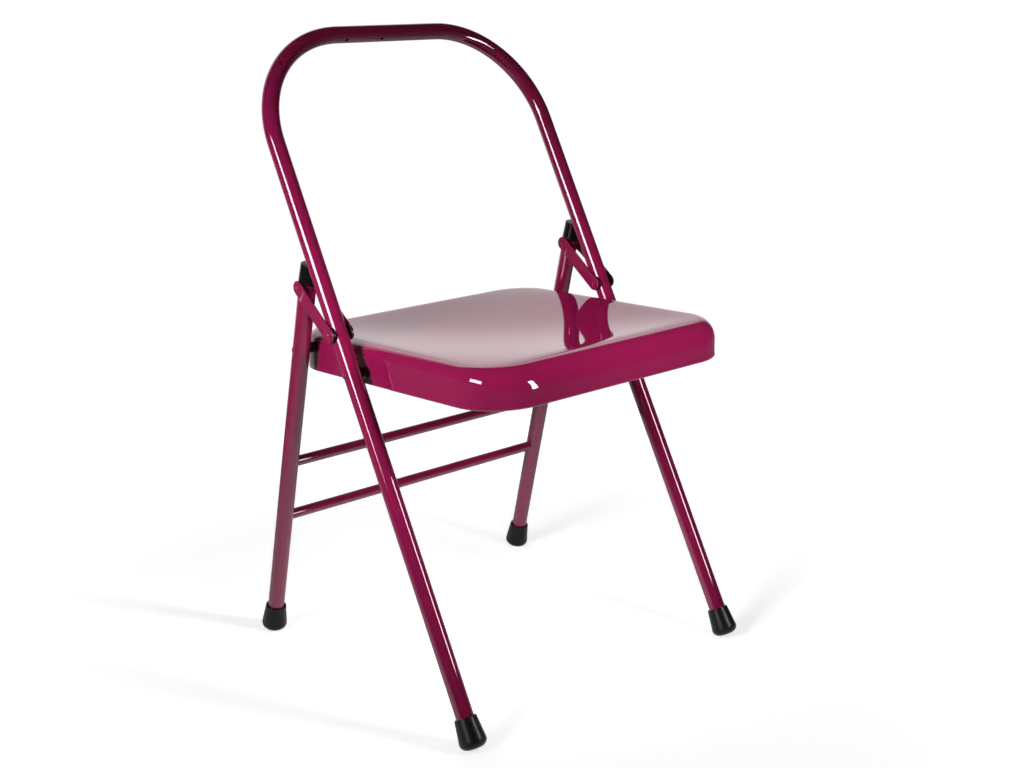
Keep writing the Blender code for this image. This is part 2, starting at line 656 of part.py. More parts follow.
def add_stretcher(name, height, pivot, legs, paint):
    """A thin cross tube whose ends are shaped to the rear legs."""
    place = up_leg(rear_leg(1), height)
    outer = STRETCHER_DIAMETER / 2
    mesh = pipe_mesh(name, outer, outer - STRETCHER_WALL, -place.x, place.x, TUBE_SIDES)
    add_part(name, mesh, pivot, crosswise(1, place), paint, [legs[side, "rear"] for side in SIDES])


def centre_on_floor(origin):
    """Moves the whole chair so that its bounding box is centred on the origin from front to back."""
    bpy.context.view_layer.update()
    graph = bpy.context.evaluated_depsgraph_get()
    reach = []
    for thing in bpy.context.scene.objects:
        if thing.type == "MESH" and not thing.hide_render:
            solid = thing.evaluated_get(graph)
            reach += [(solid.matrix_world @ vertex.co).y for vertex in solid.data.vertices]
    origin.location.y = -(min(reach) + max(reach)) / 2


def build_chair():
    clear_scene()
    paint = new_material("plum_paint", (0.26, 0.012, 0.082), roughness=0.22, coat=1.0)
    rubber = new_material("black_rubber", (0.012, 0.011, 0.013), roughness=0.5)
    plastic = new_material("black_plastic", (0.014, 0.013, 0.015), roughness=0.35)

    origin = add_empty("chair_origin")
    seat_pivot = add_empty("seat_pivot", Vector((0.0, *SEAT_FRONT_PIVOT.yz)), origin)
    link_pivots = {}
    for name, side in SIDES.items():
        place = Vector((side * LINK_FOOT_PIVOT.x, *LINK_FOOT_PIVOT.yz))
        link_pivots[name] = add_empty(f"{name}_link_pivot", place, origin)
    rear_place = Vector((-LINK_TOP_PIVOT.x, *LINK_TOP_PIVOT.yz))
    rear_pivot = add_empty("rear_frame_pivot", rear_place, link_pivots["left"])
    holes = add_hole_cutters(origin)
    legs = add_leg_cutters(origin)

    add_front_frame(origin, holes, paint, rubber, plastic)
    add_seat(seat_pivot, holes, paint)
    for name, side in SIDES.items():
        add_links(name, side, link_pivots[name], holes, paint)
        add_rear_leg(name, side, rear_pivot, holes, legs, paint, rubber, plastic)
    add_stretcher("upper_stretcher", UPPER_STRETCHER_HEIGHT, rear_pivot, legs, paint)
    add_stretcher("lower_stretcher", LOWER_STRETCHER_HEIGHT, rear_pivot, legs, paint)
    centre_on_floor(origin)


build_chair()
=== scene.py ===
import math

import bmesh
import bpy
import numpy as np
from mathutils import Matrix, Vector


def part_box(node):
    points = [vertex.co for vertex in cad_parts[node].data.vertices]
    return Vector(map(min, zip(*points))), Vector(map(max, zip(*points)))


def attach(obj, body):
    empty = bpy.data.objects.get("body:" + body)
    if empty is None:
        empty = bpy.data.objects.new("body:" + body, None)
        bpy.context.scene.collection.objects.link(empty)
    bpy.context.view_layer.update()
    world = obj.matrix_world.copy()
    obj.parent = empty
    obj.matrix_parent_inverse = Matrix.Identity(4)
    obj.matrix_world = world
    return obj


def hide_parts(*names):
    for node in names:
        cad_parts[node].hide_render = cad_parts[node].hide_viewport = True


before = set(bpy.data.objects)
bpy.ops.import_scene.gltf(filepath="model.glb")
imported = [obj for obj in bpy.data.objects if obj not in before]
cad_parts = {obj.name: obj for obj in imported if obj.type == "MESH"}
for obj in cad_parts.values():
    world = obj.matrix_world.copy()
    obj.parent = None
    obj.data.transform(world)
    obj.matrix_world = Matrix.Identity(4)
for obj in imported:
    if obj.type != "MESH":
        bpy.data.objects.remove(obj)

MM = 0.001

# Tubes and sheet
TUBE_RADIUS = 11.0 * MM
TUBE_WALL = 1.2 * MM
STRETCHER_RADIUS = 6.9 * MM
STRETCHER_WALL = 1.2 * MM
SEAT_SHEET = 1.4 * MM

# Legs
FOOT_HALF_WIDTH = 222.0 * MM
FRONT_LEAN = math.radians(29.27)
REAR_LEAN = math.radians(13.14)
LEG_SPLAY = math.radians(0.15)
HOOP_LENGTH = 901.5 * MM
HOOP_BEND_RADIUS = 139.2 * MM

# Pivots and stretchers, as distances up their legs
SEAT_PIVOT_ON_FRONT = 463.5 * MM
LINK_ABOVE_SEAT_ON_FRONT = 52.0 * MM
LINK_ABOVE_SEAT_ON_REAR = 84.3 * MM
UPPER_STRETCHER_HEIGHT = 261.7 * MM
LOWER_STRETCHER_HEIGHT = 180.2 * MM
TUBE_ABOVE_LINK_PIVOT = 5.0 * MM

# Seat pan, in its own frame: v runs back from the front pivot and w up from it. The rear pivot is where
# the rear legs are riveted to it.
REAR_PIVOT_BACK = 108.14 * MM
REAR_PIVOT_UP = 16.96 * MM
SEAT_SIDE_GAP = 8.3 * MM
SEAT_FRONT_REACH = 234.5 * MM
SEAT_BACK_REACH = 172.0 * MM
SEAT_TILT = math.radians(3.45)
SEAT_FRONT_CORNER = 64.0 * MM
SEAT_BACK_CORNER = 68.0 * MM
SEAT_FRONT_ROLL = 30.0 * MM
SEAT_SIDE_ROLL = 16.0 * MM
SEAT_BACK_ROLL = 24.0 * MM
SEAT_RIM_ABOVE_PIVOT = 30.5 * MM
SEAT_REAR_RISE = 3.4 * MM
SEAT_HEM_BELOW_PIVOT = 15.7 * MM
SEAT_DISH = 9.0 * MM
SEAT_DISH_EASE = 0.09
HEM_RADIUS = 2.2 * MM
HEM_LIP = 3.0 * MM
HEM_BEAD = 0.35 * MM
HEM_BEAD_HEIGHT = 4.5 * MM
HEM_BEAD_BELOW = 1.0 * MM
HEM_BEAD_ABOVE = 1.2 * MM
HEM_BEAD_START = 0.15

# The flat that is pressed into the skirt round the two pivots, and fades out at the skirt's corners
PRESS_DEPTH = 0.8 * MM
PRESS_SLOPE = 2.4 * MM
PRESS_TOP = (22.0 * MM, 25.0 * MM)
PRESS_FACING = (0.9, 0.98)
# Front border of the flat, as (v, w) in millimetres
PRESS_BORDER = ((-48, -30), (-48, -11), (-44, -10), (-43, 5), (-41, 18), (-33, 21), (-27, 24), (-20, 25))

# Links, spacers and rivets
LINK_WIDTH = 18.2 * MM
LINK_THICKNESS = 2.2 * MM
LINK_JOG_FROM_TOP = 10.0 * MM
LINK_JOG_LENGTH = 6.0 * MM
LINK_EDGE = 0.5 * MM
LINK_SPACER_RADIUS = 10.0 * MM
LINK_SPACER_THICKNESS = 2.0 * MM
SEAT_SPACER_RADIUS = 7.0 * MM
SPACER_EDGE = 0.4 * MM
RIVET_RADIUS = 3.0 * MM
RIVET_HEAD_RADIUS = 4.3 * MM
RIVET_HEAD_HEIGHT = 1.9 * MM
RIVET_FLANGE_RADIUS = 5.7 * MM
RIVET_FLANGE_HEIGHT = 0.7 * MM
RIVET_BUTTON_RADIUS = 2.9 * MM
RIVET_GROOVE = 0.45 * MM
RIVET_TAIL_RADIUS = 3.8 * MM
RIVET_TAIL_HEIGHT = 1.3 * MM
RIVET_DIMPLE_RADIUS = 1.9 * MM
RIVET_DIMPLE_DEPTH = 0.7 * MM
RIVET_EDGE = 0.25 * MM
RIVET_SEAT_GAP = 0.03 * MM
REAR_TAIL_STANDOFF = 1.2 * MM
REAR_TAIL_SUNK = 0.2 * MM
FIT_GAP = 0.3 * MM
TUBE_CLEARANCE = FIT_GAP / 3
HOLE_RADIUS = RIVET_RADIUS + 0.35 * MM
LINK_GAP_AT_FOOT = LINK_SPACER_THICKNESS + 2 * FIT_GAP

# Rubber foot caps, and the plugs in the tops of the rear legs
CAP_HEIGHT = 37.0 * MM
CAP_TOP_RADIUS = 13.7 * MM
CAP_WIDEST_RADIUS = 16.8 * MM
CAP_SOLE_RADIUS = 6.8 * MM
CAP_SOLE_ROUNDING = 8.6 * MM
CAP_SOLE_THICKNESS = 8.0 * MM
CAP_LIP_ROUNDING = 1.0 * MM
CAP_MOUTH_BEVEL = 0.4 * MM
CAP_FLAT_DEPTH = 0.8 * MM
PLUG_HEIGHT = 25.4 * MM
PLUG_SHOULDER = 0.9 * MM
PLUG_TOP_RADIUS = 11.0 * MM
PLUG_TOP_ROUNDING = 1.0 * MM
PLUG_EDGE = 0.4 * MM
PLUG_STEM_LENGTH = 18.0 * MM
LINK_GAP_AT_TOP = PLUG_SHOULDER + 2 * FIT_GAP

# Drain holes under the top bar, as places across the chair
DRAIN_HOLES = (-14.0 * MM, -70.0 * MM)
DRAIN_HOLE_RADIUS = 2.2 * MM
DRAIN_HOLE_TURN = math.radians(24)
DRAIN_HOLE_REACH = 3.0 * MM

# Fineness
ROUND_SIDES = 72
RIVET_SIDES = 40
TUBE_STEP = 12.0 * MM
BEND_STEPS = 40
CORNER_STEPS = 26
RIM_STEP = 4.0 * MM
ROLL_STEPS = 18
SKIRT_STEPS = 16
HEM_STEPS = 6
DISH_STEPS = 26
ARC_STEPS = 12
EDGE_STEPS = 4
ROUNDING_STEPS = 6
PLUG_TOP_STEPS = 8
SOLE_STEPS = 24
CAP_STEP = 3.0 * MM
PLUG_STEP = 1.5 * MM
LINK_STEP = 1.5 * MM
LINK_END_STEPS = 36
RINGS_BY_HOLE = 6
SMOOTH_ANGLE = math.radians(32.0)
WELD = 0.001 * MM

# How far up a leg the cutters run that shape the plugs and the stretchers' ends to the tubes
PLUG_CUT_SPAN = (0.3, 0.7)
STRETCHER_CUT_SPAN = (0.09, 0.5)

# Finishes: two near shades, a span of roughness and a depth of relief, each with the scale of its noise
PAINT = {
    "specular": 0.0,
    "shades": ((0.252, 0.0062, 0.060), (0.268, 0.0072, 0.065)),
    "shade_scale": 55.0,
    "roughness": (0.30, 0.38),
    "roughness_scale": 90.0,
    "relief": 0.0012 * MM,
    "relief_scale": 170.0,
}
RUBBER = {
    "specular": 0.24,
    "shades": ((0.0042, 0.0036, 0.0046), (0.0070, 0.0060, 0.0074)),
    "shade_scale": 260.0,
    "roughness": (0.29, 0.38),
    "roughness_scale": 180.0,
    "relief": 0.03 * MM,
    "relief_scale": 900.0,
}
PLASTIC = {
    "specular": 0.24,
    "shades": ((0.0036, 0.0033, 0.0038), (0.0060, 0.0055, 0.0062)),
    "shade_scale": 320.0,
    "roughness": (0.22, 0.30),
    "roughness_scale": 240.0,
    "relief": 0.01 * MM,
    "relief_scale": 700.0,
}
COAT_ROUGHNESS = 0.035
COAT_IOR = 1.65
SHADE_DETAIL = 4.0
SURFACE_DETAIL = 3.0
NOISE_SPAN = (0.3, 0.7)

# Camera
CAMERA_PLACE = (-1.15485, -1.33964, 0.87262)
CAMERA_FORWARD = (0.63480, 0.71911, -0.28268)
CAMERA_RIGHT = (0.749809, -0.661652, 0.000678)
CAMERA_LENS = 49.97
CAMERA_SENSOR = 36.0

# Floor: it is pale round the chair and darkened further out as painted shade, where the lamps' light falls
# off. It glows for the eye and gleams in reflections.
FLOOR_REACH = 60.0
FLOOR_COLOUR = (0.8, 0.8, 0.8, 1.0)
FLOOR_PAINTED_SHADE_SPAN = (0.45, 1.25)
FLOOR_PAINTED_SHADE_SHARE = 0.15
FLOOR_GLOW = (0.68, 1.0)
FLOOR_GLOW_REACH = (0.3, 0.9)
FLOOR_GLEAM_NEAR = 0.45
FLOOR_GLEAM_FAR = 0.10
FLOOR_GLEAM_BEHIND = 0.95
FLOOR_GLEAM_REACH = (0.6, 2.0)

# Backdrop behind the chair, in the world. Brightness is radiance, where 1 shows as white.
BACKDROP_WAY = (0.375, 0.927, 0.0)
BACKDROP_SPREAD = (math.cos(math.radians(48)), math.cos(math.radians(36)))
BACKDROP_TOP = (math.sin(math.radians(38)), math.sin(math.radians(32)))
BACKDROP_BAND = (math.sin(math.radians(19)), math.sin(math.radians(26)))
BACKDROP_LOW = (math.sin(math.radians(14)), math.sin(math.radians(3)))
BACKDROP_LIGHT = 0.86
BACKDROP_LOW_LIGHT = 0.24
BACKDROP_BAND_LIGHT = 0.6
ROOM_REFLECTED = 0.03
ROOM_LIGHT = 0.08

# Each lamp: its middle, what it is aimed at, width, height, brightness and spread. A grid narrows the light
# of the two that light the chair. The other two are softboxes that only show in its gloss.
OPEN = math.pi
LIGHTING = {
    "left_light": ((-1.42, -0.17, 0.94), (-0.06, -0.05, 0.44), 0.52, 0.48, 46.5, math.radians(46)),
    "front_light": ((0.385, -0.98, 0.81), (-0.01, -0.15, 0.40), 0.18, 0.42, 61.0, math.radians(50)),
}
GLOSS = {
    "left_softbox": ((-2.90, -0.36, 1.50), (0.0, 0.0, 0.45), 1.35, 0.95, 17.0, OPEN),
    "front_softbox": ((0.415, -0.98, 0.73), (0.0, 0.0, 0.45), 0.16, 0.52, 26.0, OPEN),
}

SIDES = {"left": -1, "right": 1}


def leg_frame(side, foot_y, lean):
    """World matrix of a leg, from its foot on the floor with Z up the tube."""
    foot = Matrix.Translation((side * FOOT_HALF_WIDTH, foot_y, 0.0))
    return foot @ Matrix.Rotation(lean, 4, "X") @ Matrix.Rotation(-side * LEG_SPLAY, 4, "Y")


def front_foot_y():
    """Where the front feet stand in the frame, from the node of a rivet on a front leg."""
    low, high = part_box("right_seat_front_rivet")
    return (low[1] + high[1]) / 2 - SEAT_PIVOT_ON_FRONT * math.cos(LEG_SPLAY) * math.sin(FRONT_LEAN)


FRONT_FOOT_Y = front_foot_y()


def front_leg(side):
    return leg_frame(side, FRONT_FOOT_Y, -FRONT_LEAN)


def rear_leg(side):
    return leg_frame(side, REAR_FOOT_Y, REAR_LEAN)


def up_leg(leg, distance):
    return leg @ Vector((0.0, 0.0, distance))


def seat_frame():
    """Matrix of the seat's own frame, on the chair's middle plane."""
    place = Matrix.Translation((0.0, SEAT_FRONT_PIVOT.y, SEAT_FRONT_PIVOT.z))
    return place @ Matrix.Rotation(-SEAT_TILT, 4, "X")


# The front pivot of the seat carries the seat, and the seat's rear pivot the rear legs
SEAT_FRONT_PIVOT = up_leg(front_leg(1), SEAT_PIVOT_ON_FRONT)
REAR_RIVET_PLACE = seat_frame() @ Vector((0.0, REAR_PIVOT_BACK, REAR_PIVOT_UP))
REAR_FOOT_Y = REAR_RIVET_PLACE.y + REAR_RIVET_PLACE.z * math.tan(REAR_LEAN)
SEAT_PIVOT_ON_REAR = REAR_RIVET_PLACE.z / math.cos(REAR_LEAN) / math.cos(LEG_SPLAY)
LINK_PIVOT_ON_FRONT = SEAT_PIVOT_ON_FRONT + LINK_ABOVE_SEAT_ON_FRONT
LINK_PIVOT_ON_REAR = SEAT_PIVOT_ON_REAR + LINK_ABOVE_SEAT_ON_REAR
SEAT_REAR_PIVOT = up_leg(rear_leg(1), SEAT_PIVOT_ON_REAR)
LINK_FOOT_PIVOT = up_leg(front_leg(1), LINK_PIVOT_ON_FRONT)
LINK_TOP_PIVOT = up_leg(rear_leg(1), LINK_PIVOT_ON_REAR)
SEAT_HALF_WIDTH = SEAT_FRONT_PIVOT.x - TUBE_RADIUS - SEAT_SIDE_GAP
LINK_LENGTH = math.dist(LINK_FOOT_PIVOT.yz, LINK_TOP_PIVOT.yz)
HOLE_SPAN = (SEAT_HALF_WIDTH - 8.0 * MM, FOOT_HALF_WIDTH + 20.0 * MM)


# Mesh helpers


def arc(centre, radii, start, end, steps=ARC_STEPS):
    """Points on an ellipse in a plane, from one angle to another, both ends included."""
    angles = [start + (end - start) * step / steps for step in range(steps + 1)]
    return [(centre[0] + radii[0] * math.cos(a), centre[1] + radii[1] * math.sin(a)) for a in angles]


def mesh_from(name, bm):
    bmesh.ops.remove_doubles(bm, verts=bm.verts, dist=WELD)
    bmesh.ops.recalc_face_normals(bm, faces=bm.faces)
    mesh = bpy.data.meshes.new(name)
    bm.to_mesh(mesh)
    bm.free()
    return mesh


def turned(name, profile, sides=ROUND_SIDES, ring=False):
    """A mesh turned round Z from a profile of (radius, height). A ring's profile is closed."""
    bm = bmesh.new()
    points = [bm.verts.new((radius, 0.0, height)) for radius, height in profile]
    following = points[1:] + points[:1] if ring else points[1:]
    edges = [bm.edges.new(pair) for pair in zip(points, following)]
    bmesh.ops.spin(
        bm,
        geom=points + edges,
        axis=(0.0, 0.0, 1.0),
        angle=2 * math.pi,
        steps=sides,
        use_merge=True,
    )
    return mesh_from(name, bm)


def join_rings(bm, first, second):
    for index in range(len(first)):
        following = (index + 1) % len(first)
        bm.faces.new((first[index], first[following], second[following], second[index]))


def divided(low, high, step):
    """Places from low to high, at most a step apart, both ends included."""
    pieces = max(1, math.ceil((high - low) / step))
    return [low + (high - low) * piece / pieces for piece in range(pieces + 1)]


def tapered(start, end, step):
    """Points of a profile between two of its points, about a step apart, without those two."""
    points = []
    for height in divided(start[1], end[1], step)[1:-1]:
        share = (height - start[1]) / (end[1] - start[1])
        points.append((start[0] + (end[0] - start[0]) * share, height))
    return points


def pipe(name, outer, inner, heights):
    """A straight pipe along Z with rings at these heights."""
    profile = [(outer, height) for height in heights] + [(inner, height) for height in reversed(heights)]
    return turned(name, profile, ring=True)


def rings_near(low, high, places):
    """Heights of a tube's rings: spaced out, and a millimetre apart where a hole is cut."""
    heights = set(divided(low, high, TUBE_STEP))
    for place in places:
        near = [place + offset * MM for offset in range(-RINGS_BY_HOLE, RINGS_BY_HOLE + 1)]
        heights |= {height for height in near if low < height < high}
    return sorted(heights)


def crosswise(side, pivot):
    """Matrix at a pivot whose Z runs outwards from the chair's middle plane."""
    place = Matrix.Translation((0.0, pivot.y, pivot.z))
    return place @ Matrix.Rotation(side * math.pi / 2, 4, "Y")


def settle(thing):
    """Gives a thing the mesh that its modifiers make, and clears them."""
    graph = bpy.context.evaluated_depsgraph_get()
    graph.update()
    done = bpy.data.meshes.new_from_object(thing.evaluated_get(graph))
    thing.modifiers.clear()
    thing.data = done


def cut(thing, cutters):
    """Takes the cutters' shapes out of a piece for good."""
    for cutter in cutters:
        modifier = thing.modifiers.new("cut", "BOOLEAN")
        modifier.operation = "DIFFERENCE"
        modifier.solver = "EXACT"
        modifier.object = cutter
    settle(thing)
    for cutter in cutters:
        bpy.data.objects.remove(cutter, do_unlink=True)


def cutter_rod(radius, low, high, matrix, sides=RIVET_SIDES):
    mesh = turned("cutter", [(0.0, low), (radius, low), (radius, high), (0.0, high)], sides)
    mesh.transform(matrix)
    rod = bpy.data.objects.new("cutter", mesh)
    bpy.context.scene.collection.objects.link(rod)
    return rod


def hole_through(side, pivot):
    """A cutter for a rivet's hole, through everything on one side of the chair."""
    return cutter_rod(HOLE_RADIUS, *HOLE_SPAN, crosswise(side, pivot))


def add_piece(node, mesh, matrix, material, body, cutters=()):
    """A fine piece that is shown in place of a CAD node and moves with its body."""
    mesh.transform(matrix)
    piece = bpy.data.objects.new(node + "_fine", mesh)
    bpy.context.scene.collection.objects.link(piece)
    if cutters:
        cut(piece, cutters)
    piece.data.materials.clear()
    piece.data.materials.append(material)
    piece.data.shade_smooth()
    piece.data.set_sharp_from_angle(angle=SMOOTH_ANGLE)
    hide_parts(node)
    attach(piece, body)
    return piece


# Front frame


def sole_height(lean):
    """From the floor up a leg to its cap's sole, which sets the cap's flat on the floor."""
    bulge = CAP_WIDEST_RADIUS - CAP_SOLE_RADIUS
    reach = math.hypot(bulge * math.sin(lean), CAP_SOLE_ROUNDING * math.cos(lean))
    lowest = CAP_SOLE_RADIUS * math.sin(lean) + reach - CAP_FLAT_DEPTH
    return lowest / math.cos(lean) - CAP_SOLE_ROUNDING


def tube_end(lean):
    return sole_height(lean) + CAP_SOLE_THICKNESS + FIT_GAP


def hoop_path():
    """The hoop's axis (x, z) in the plane of the front frame, from the left foot to the right foot."""
    tangent = HOOP_BEND_RADIUS * math.tan((math.pi / 2 - LEG_SPLAY) / 2)
    corner_x = FOOT_HALF_WIDTH - HOOP_LENGTH * math.tan(LEG_SPLAY)
    centre = (corner_x - tangent, HOOP_LENGTH - HOOP_BEND_RADIUS)
    radii = (HOOP_BEND_RADIUS, HOOP_BEND_RADIUS)
    half = [(x, HOOP_LENGTH) for x in divided(0.0, centre[0], TUBE_STEP)[:-1]]
    half += arc(centre, radii, math.pi / 2, LEG_SPLAY, BEND_STEPS)
    top = half[-1][1]
    heights = rings_near(tube_end(FRONT_LEAN), top, (SEAT_PIVOT_ON_FRONT, LINK_PIVOT_ON_FRONT))
    half += [(FOOT_HALF_WIDTH - z * math.tan(LEG_SPLAY), z) for z in reversed(heights[:-1])]
    return [(-x, z) for x, z in reversed(half[1:])] + half


def tube_section(bm, path, index, radius):
    here = Vector(path[index])
    before = here - Vector(path[max(index - 1, 0)])
    after = Vector(path[min(index + 1, len(path) - 1)]) - here
    ways = [way.normalized() for way in (before, after) if way.length > 0]
    along = sum(ways, Vector((0.0, 0.0))).normalized()
    across = Vector((along.y, 0.0, -along.x))
    ring = []
    for step in range(ROUND_SIDES):
        angle = 2 * math.pi * step / ROUND_SIDES
        offset = across * math.cos(angle) + Vector((0.0, math.sin(angle), 0.0))
        ring.append(bm.verts.new(Vector((here.x, 0.0, here.y)) + radius * offset))
    return ring


def hoop_mesh():
    path = hoop_path()
    bm = bmesh.new()
    walls = [
        [tube_section(bm, path, index, radius) for index in range(len(path))]
        for radius in (TUBE_RADIUS, TUBE_RADIUS - TUBE_WALL)
    ]
    for wall in walls:
        for here, there in zip(wall, wall[1:]):
            join_rings(bm, here, there)
    for end in (0, -1):
        join_rings(bm, walls[0][end], walls[1][end])
    return mesh_from("front_frame_tube", bm)


def drain_cutters(matrix):
    """Small holes low in the front of the top bar, which let air out when the paint is baked."""
    turn = Matrix.Rotation(-DRAIN_HOLE_TURN, 4, "X")
    low, high = -TUBE_RADIUS - DRAIN_HOLE_REACH, -TUBE_RADIUS + DRAIN_HOLE_REACH
    rods = []
    for x in DRAIN_HOLES:
        place = matrix @ Matrix.Translation((x, 0.0, HOOP_LENGTH)) @ turn
        rods.append(cutter_rod(DRAIN_HOLE_RADIUS, low, high, place))
    return rods


def foot_cap_mesh(name, leg, lean):
    """A bell-shaped cap with a rounded sole and a pocket for the tube, flat at the floor."""
    sole = sole_height(lean)
    bore = TUBE_RADIUS + TUBE_CLEARANCE
    lip = CAP_LIP_ROUNDING
    bevel = CAP_MOUTH_BEVEL
    lip_foot = CAP_HEIGHT - lip
    rounding = (CAP_WIDEST_RADIUS - CAP_SOLE_RADIUS, CAP_SOLE_ROUNDING)
    profile = [(0.0, 0.0), (CAP_SOLE_RADIUS / 2, 0.0)]
    profile += arc((CAP_SOLE_RADIUS, CAP_SOLE_ROUNDING), rounding, -math.pi / 2, 0.0, SOLE_STEPS)
    profile += tapered((CAP_WIDEST_RADIUS, CAP_SOLE_ROUNDING), (CAP_TOP_RADIUS, lip_foot), CAP_STEP)
    profile += arc((CAP_TOP_RADIUS - lip, lip_foot), (lip, lip), 0.0, math.pi / 2, ROUNDING_STEPS)
    profile += [(bore + bevel, CAP_HEIGHT), (bore, CAP_HEIGHT - bevel)]
    profile += [(bore, CAP_SOLE_THICKNESS), (0.0, CAP_SOLE_THICKNESS)]
    mesh = turned(name, [(radius, sole + height) for radius, height in profile])
    rise = (leg.to_3x3() @ Vector((0.0, 0.0, 1.0))).z
    for vertex in mesh.vertices:
        below_floor = min((leg @ vertex.co).z, 0.0)
        vertex.co.z -= below_floor / rise
    return mesh


def dome(radius, height, base):
    """Half of a low dome's outline, from its rim to its crown."""
    return arc((0.0, base), (radius, height), 0.0, math.pi / 2)


def rivet_top(high, head):
    """Outline of a rivet's upper end: a plain dome, or a flange that dips to a button in its middle."""
    if head == "dome":
        return dome(RIVET_HEAD_RADIUS, RIVET_HEAD_HEIGHT, high)
    if head == "flange":
        edge = RIVET_EDGE
        flange = high + RIVET_FLANGE_HEIGHT
        rim = [(RIVET_FLANGE_RADIUS, high)]
        rim += arc((RIVET_FLANGE_RADIUS - edge, flange - edge), (edge, edge), 0.0, math.pi / 2, EDGE_STEPS)
        groove = flange - RIVET_GROOVE
        rim.append((RIVET_BUTTON_RADIUS + edge, groove))
        return rim + dome(RIVET_BUTTON_RADIUS, high + RIVET_HEAD_HEIGHT - groove, groove)
    return [(0.0, high)]


def rivet_tail(low):
    """Outline of the closed-up end of a rivet: a low ring round a dimple."""
    bottom = low - RIVET_TAIL_HEIGHT
    edge = 2 * RIVET_EDGE
    dimple = (RIVET_DIMPLE_RADIUS, RIVET_DIMPLE_DEPTH)
    profile = arc((0.0, bottom), dimple, math.pi / 2, 0.0, ROUNDING_STEPS)
    corner = (RIVET_TAIL_RADIUS - edge, bottom + edge)
    profile += arc(corner, (edge, edge), -math.pi / 2, 0.0, ROUNDING_STEPS)
    return profile + [(RIVET_TAIL_RADIUS, low)]


def rivet_mesh(name, low, high, tail=True, head="dome"):
    """A rivet along Z with its closed-up tail below its shank and its head above."""
    bottom = rivet_tail(low) if tail else [(0.0, low)]
    profile = bottom + [(RIVET_RADIUS, low), (RIVET_RADIUS, high)] + rivet_top(high, head)
    return turned(name, profile, RIVET_SIDES)


def add_rivet(node, side, pivot, low, high, material, body, **ends):
    add_piece(node, rivet_mesh(node, low, high, **ends), crosswise(side, pivot), material, body)


def add_spacer(node, side, pivot, radius, low, high, material, body):
    """A round spacer with softened edges on a rivet."""
    edge = SPACER_EDGE
    bore = RIVET_RADIUS + FIT_GAP / 2
    profile = [(bore, low)]
    profile += arc((radius - edge, low + edge), (edge, edge), -math.pi / 2, 0.0, EDGE_STEPS)
    profile += arc((radius - edge, high - edge), (edge, edge), 0.0, math.pi / 2, EDGE_STEPS)
    profile += [(bore, high)]
    mesh = turned(node, profile, ring=True)
    add_piece(node, mesh, crosswise(side, pivot), material, body)


def add_front_frame(paint, rubber, plastic):
    plane = Matrix.Translation((0.0, FRONT_FOOT_Y, 0.0)) @ Matrix.Rotation(-FRONT_LEAN, 4, "X")
    cutters = drain_cutters(plane)
    for side in SIDES.values():
        cutters += [hole_through(side, pivot) for pivot in (SEAT_FRONT_PIVOT, LINK_FOOT_PIVOT)]
    add_piece("front_frame_tube", hoop_mesh(), plane, paint, "front_frame", cutters)
    for name, side in SIDES.items():
        cap = f"{name}_front_foot_cap"
        leg = front_leg(side)
        add_piece(cap, foot_cap_mesh(cap, leg, FRONT_LEAN), leg, rubber, "front_frame")

        pivot = SEAT_FRONT_PIVOT
        rivet = f"{name}_seat_front_rivet"
        low = SEAT_HALF_WIDTH - SEAT_SHEET - PRESS_DEPTH
        add_rivet(rivet, side, pivot, low, pivot.x + TUBE_RADIUS, paint, "front_frame")
        spacer = f"{name}_seat_front_spacer"
        low, high = SEAT_HALF_WIDTH - PRESS_DEPTH, pivot.x - TUBE_RADIUS
        add_spacer(spacer, side, pivot, SEAT_SPACER_RADIUS, low, high, plastic, "front_frame")

        pivot = LINK_FOOT_PIVOT
        near = TUBE_RADIUS + FIT_GAP
        far = near + LINK_SPACER_THICKNESS
        reach = far + FIT_GAP + LINK_THICKNESS + RIVET_SEAT_GAP
        rivet = f"{name}_link_foot_rivet"
        add_rivet(rivet, side, pivot, pivot.x - reach, pivot.x + reach, paint, "front_frame", head="flange")
        places = (("outer", pivot.x + near, pivot.x + far), ("inner", pivot.x - far, pivot.x - near))
        for place, low, high in places:
            node = f"{name}_{place}_link_spacer"
            add_spacer(node, side, pivot, LINK_SPACER_RADIUS, low, high, plastic, "front_frame")


# Seat


def seat_outline():
    """The pan's plan outline as (x, v, outward x, outward v), finely divided."""
    corners = ((1, -1, -1), (1, 1, 0), (-1, 1, 1), (-1, -1, 2))
    outline = []
    for x_sign, v_sign, quarters in corners:
        radius = SEAT_BACK_CORNER if v_sign > 0 else SEAT_FRONT_CORNER
        reach = SEAT_BACK_REACH if v_sign > 0 else SEAT_FRONT_REACH
        centre = (x_sign * (SEAT_HALF_WIDTH - radius), v_sign * (reach - radius))
        for step in range(CORNER_STEPS + 1):
            angle = math.pi / 2 * (quarters + step / CORNER_STEPS)
            nx, nv = math.cos(angle), math.sin(angle)
            outline.append((centre[0] + radius * nx, centre[1] + radius * nv, nx, nv))
    fine = []
    for start, end in zip(outline, outline[1:] + outline[:1]):
        pieces = math.ceil(math.dist(start[:2], end[:2]) / RIM_STEP)
        for piece in range(pieces):
            fine.append([a + (b - a) * piece / pieces for a, b in zip(start, end)])
    return np.array(fine)


def roll_radius(nx, nv):
    end = np.where(nv < 0, SEAT_FRONT_ROLL, SEAT_BACK_ROLL)
    return SEAT_SIDE_ROLL * nx**2 + end * nv**2


def rim_height(v):
    share = (v + SEAT_FRONT_REACH) / (SEAT_FRONT_REACH + SEAT_BACK_REACH)
    return SEAT_RIM_ABOVE_PIVOT + SEAT_REAR_RISE * share


def smooth_step(low, high, value):
    share = np.clip((value - low) / (high - low), 0.0, 1.0)
    return share * share * (3 - 2 * share)


